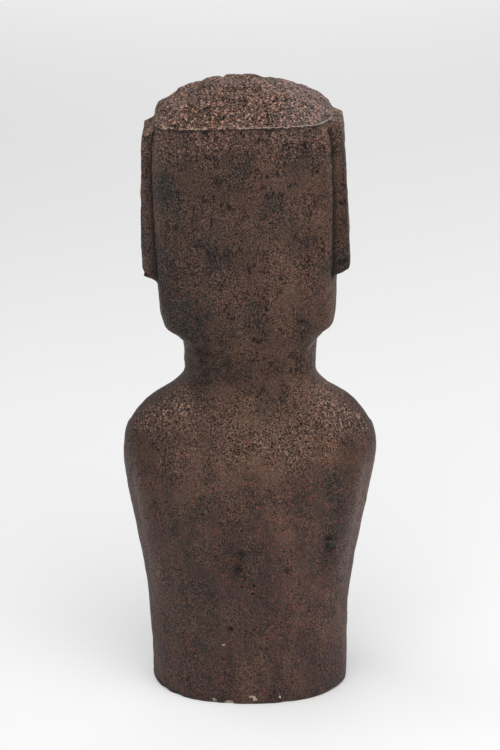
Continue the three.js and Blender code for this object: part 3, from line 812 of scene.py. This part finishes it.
def paintedStone():
    material = bpy.data.materials.new("paintedStone")
    material.use_nodes = True
    material.node_tree.nodes.clear()
    net = Nodes(material.node_tree)
    at = commonSockets(net)
    slateAndShade = slatePatches(net, at)
    colour = grainPaint(net, at, groundPaint(net, at, slateAndShade))
    colour, crease, holes = creasesAndPits(net, at, colour)
    colour = rimLineShadeAndHighlight(net, at, colour)
    ragged = net.times(net.noise(at["place"], "chipEdge"), stone["chipEdge"])
    colour = net.blend(net.step(net.plus(net.attribute("chip"), ragged), "chipEdge"), colour, "core")
    dull = net.minus(net.step(at["ridge"], "dull"), net.times(slateAndShade, stone["slateShine"]))
    shader = net.add("ShaderNodeBsdfPrincipled", {"Base Color": colour, "Roughness": dull,
                                                  "Normal": paintRelief(net, at, crease, holes),
                                                  "Specular IOR Level": stone["specular"]})
    net.add("ShaderNodeOutputMaterial", {"Surface": shader.outputs["BSDF"]})
    return material


studio = dict(floor=(0.95, 0.95, 0.95), floorRoughness=0.9, floorSpecular=0.1, floorReach=30.0, world=0.245)


# Wide plain floor, which fills the whole picture
def buildFloor():
    reach = studio["floorReach"]
    corners = [(-reach, -reach, 0), (reach, -reach, 0), (reach, reach, 0), (-reach, reach, 0)]
    data = bpy.data.meshes.new("floor")
    data.from_pydata(corners, [], [(0, 1, 2, 3)])
    data.update()
    floor = bpy.data.objects.new("floor", data)
    bpy.context.collection.objects.link(floor)
    material = bpy.data.materials.new("paleFloor")
    material.use_nodes = True
    shader = material.node_tree.nodes["Principled BSDF"]
    shader.inputs["Base Color"].default_value = (*studio["floor"], 1)
    shader.inputs["Roughness"].default_value = studio["floorRoughness"]
    shader.inputs["Specular IOR Level"].default_value = studio["floorSpecular"]
    data.materials.append(material)


lights = dict(
    top=dict(place=(-0.1, 1.1, 3.1), aim=(0, 0.1, 0.3), size=(2.8, 2.2), power=54, shadow=True),
    key=dict(place=(-1.35, 1.1, 1.0), aim=(0, 0, 0.5), size=(0.9, 1.2), power=13, shadow=False),
    left=dict(place=(1.7, -0.6, 2.2), aim=(0.5, 0, 0), size=(1.6, 1.6), power=14, shadow=True),
    right=dict(place=(-1.9, -1.7, 1.85), aim=(0, 0, 0.6), size=(1.0, 1.6), power=16, shadow=False),
    far=dict(place=(0, -4.6, 2.6), aim=(0, -4.61, 0), size=(4.0, 1.2), power=62, shadow=True),
)


# Places an item and turns its -Z axis to the target, with no roll
def aimAt(item, place, target):
    direction = np.array(target, float) - np.array(place, float)
    flat = math.hypot(direction[0], direction[1])
    item.location = place
    item.rotation_euler = (math.atan2(direction[2], flat) + math.pi / 2, 0,
                           math.atan2(direction[1], direction[0]) - math.pi / 2)


def buildLights():
    for name, spec in lights.items():
        lamp = bpy.data.lights.new(name, "AREA")
        lamp.shape = "RECTANGLE"
        lamp.size, lamp.size_y = spec["size"]
        lamp.energy = spec["power"]
        lamp.use_shadow = spec["shadow"]
        item = bpy.data.objects.new(name, lamp)
        item.visible_camera = False
        bpy.context.collection.objects.link(item)
        aimAt(item, spec["place"], spec["aim"])
    world = bpy.data.worlds.new("studioAir")
    world.use_nodes = True
    background = world.node_tree.nodes["Background"]
    background.inputs["Color"].default_value = (1, 1, 1, 1)
    background.inputs["Strength"].default_value = studio["world"]
    bpy.context.scene.world = world


# Distances in metres, elevation in degrees, lens and sensor in millimetres
camera = dict(distance=3.6, elevation=22.0, centre=0.4, aim=0.416, lens=138.1, sensor=36)


def buildCamera():
    elevation = math.radians(camera["elevation"])
    data = bpy.data.cameras.new("photoCamera")
    data.lens, data.sensor_width = camera["lens"], camera["sensor"]
    item = bpy.data.objects.new("photoCamera", data)
    bpy.context.collection.objects.link(item)
    behind, above = camera["distance"] * math.cos(elevation), camera["distance"] * math.sin(elevation)
    aimAt(item, (0, behind, camera["centre"] + above), (0, 0, camera["aim"]))
    bpy.context.scene.camera = item


statue = buildStatue()
statue.data.materials.append(paintedStone())
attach(statue, "root")
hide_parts("moai_statue")
print("statue", len(statue.data.vertices), "points")
buildFloor()
buildLights()
print("studio ready")
buildCamera()
bpy.context.scene.view_settings.view_transform = "Standard"
print("camera ready")
